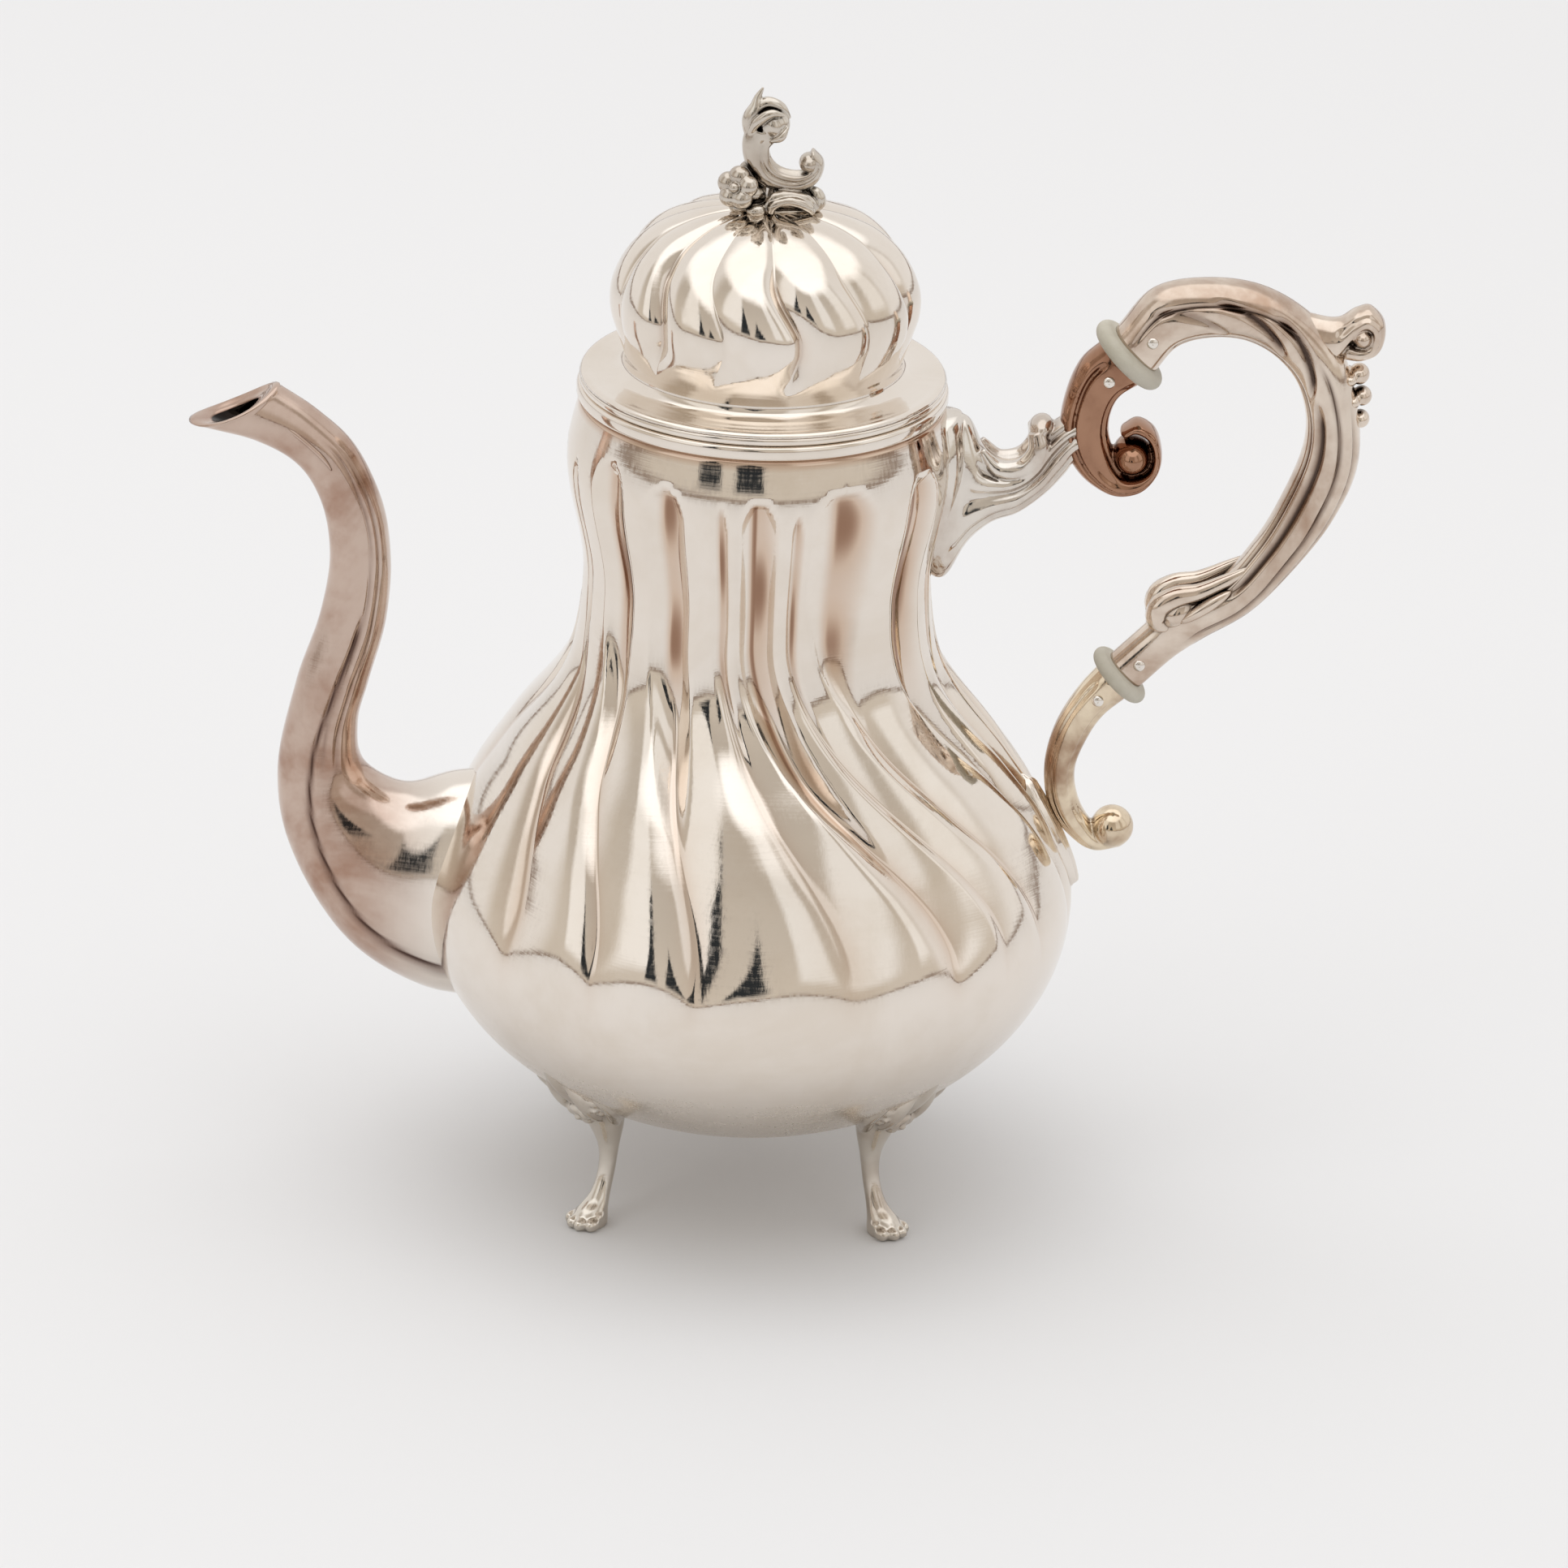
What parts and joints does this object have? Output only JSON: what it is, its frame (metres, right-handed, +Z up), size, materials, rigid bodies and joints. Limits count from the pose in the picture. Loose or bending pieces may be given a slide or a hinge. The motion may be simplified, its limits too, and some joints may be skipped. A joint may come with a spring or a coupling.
{
  "type": "coffee pot",
  "caption": "Footed rococo-style silver coffee pot with spiral fluting, swan-neck spout, insulated scroll handle and loose domed lid with a cast finial.",
  "frame": {"origin": "on the surface the pot stands on, under the middle of its overall length and width", "axes": "+Z up, +X towards the handle, spout towards -X, +Y away from a viewer who has the spout on the left"},
  "size_m": [0.2626, 0.1456, 0.259],
  "materials": {
    "silver": "mirror polished silver with a warm tint and fine scratches",
    "toned_silver": "polished silver with a pinkish brown tarnish",
    "cast_silver": "cast silver, bright on the high points and grey-brown in the hollows",
    "insulator": "matt grey-cream heat insulator, finely pitted"
  },
  "bodies": {
    "pot": {"body_left_half": "silver", "body_right_half": "silver", "rim_band": "silver", "spout_left_half": "toned_silver", "spout_right_half": "toned_silver", "handle_bracket": "silver", "upper_socket": "toned_silver", "upper_insulator": "insulator", "upper_socket_pin": "silver", "upper_handle_pin": "silver", "handle_left_half": "toned_silver", "handle_right_half": "toned_silver", "thumb_scroll": "toned_silver", "bead_drops": "toned_silver", "lower_insulator": "insulator", "lower_handle_pin": "silver", "lower_socket_pin": "silver", "lower_socket": "toned_silver", "lower_pad": "silver", "foot_front_left": "cast_silver", "foot_front_right": "cast_silver", "foot_back_left": "cast_silver", "foot_back_right": "cast_silver"},
    "lid": {"lid_shell": "silver", "lid_edge_band": "silver", "lid_bezel": "silver", "finial": "cast_silver", "finial_stud": "silver", "finial_washer": "silver", "finial_nut": "silver"}
  },
  "joints": [
    {"name": "lid_lift", "type": "slide", "parent": "pot", "child": "lid", "axis": [0, 0, 1], "range_m": [0, 0.06]}
  ]
}
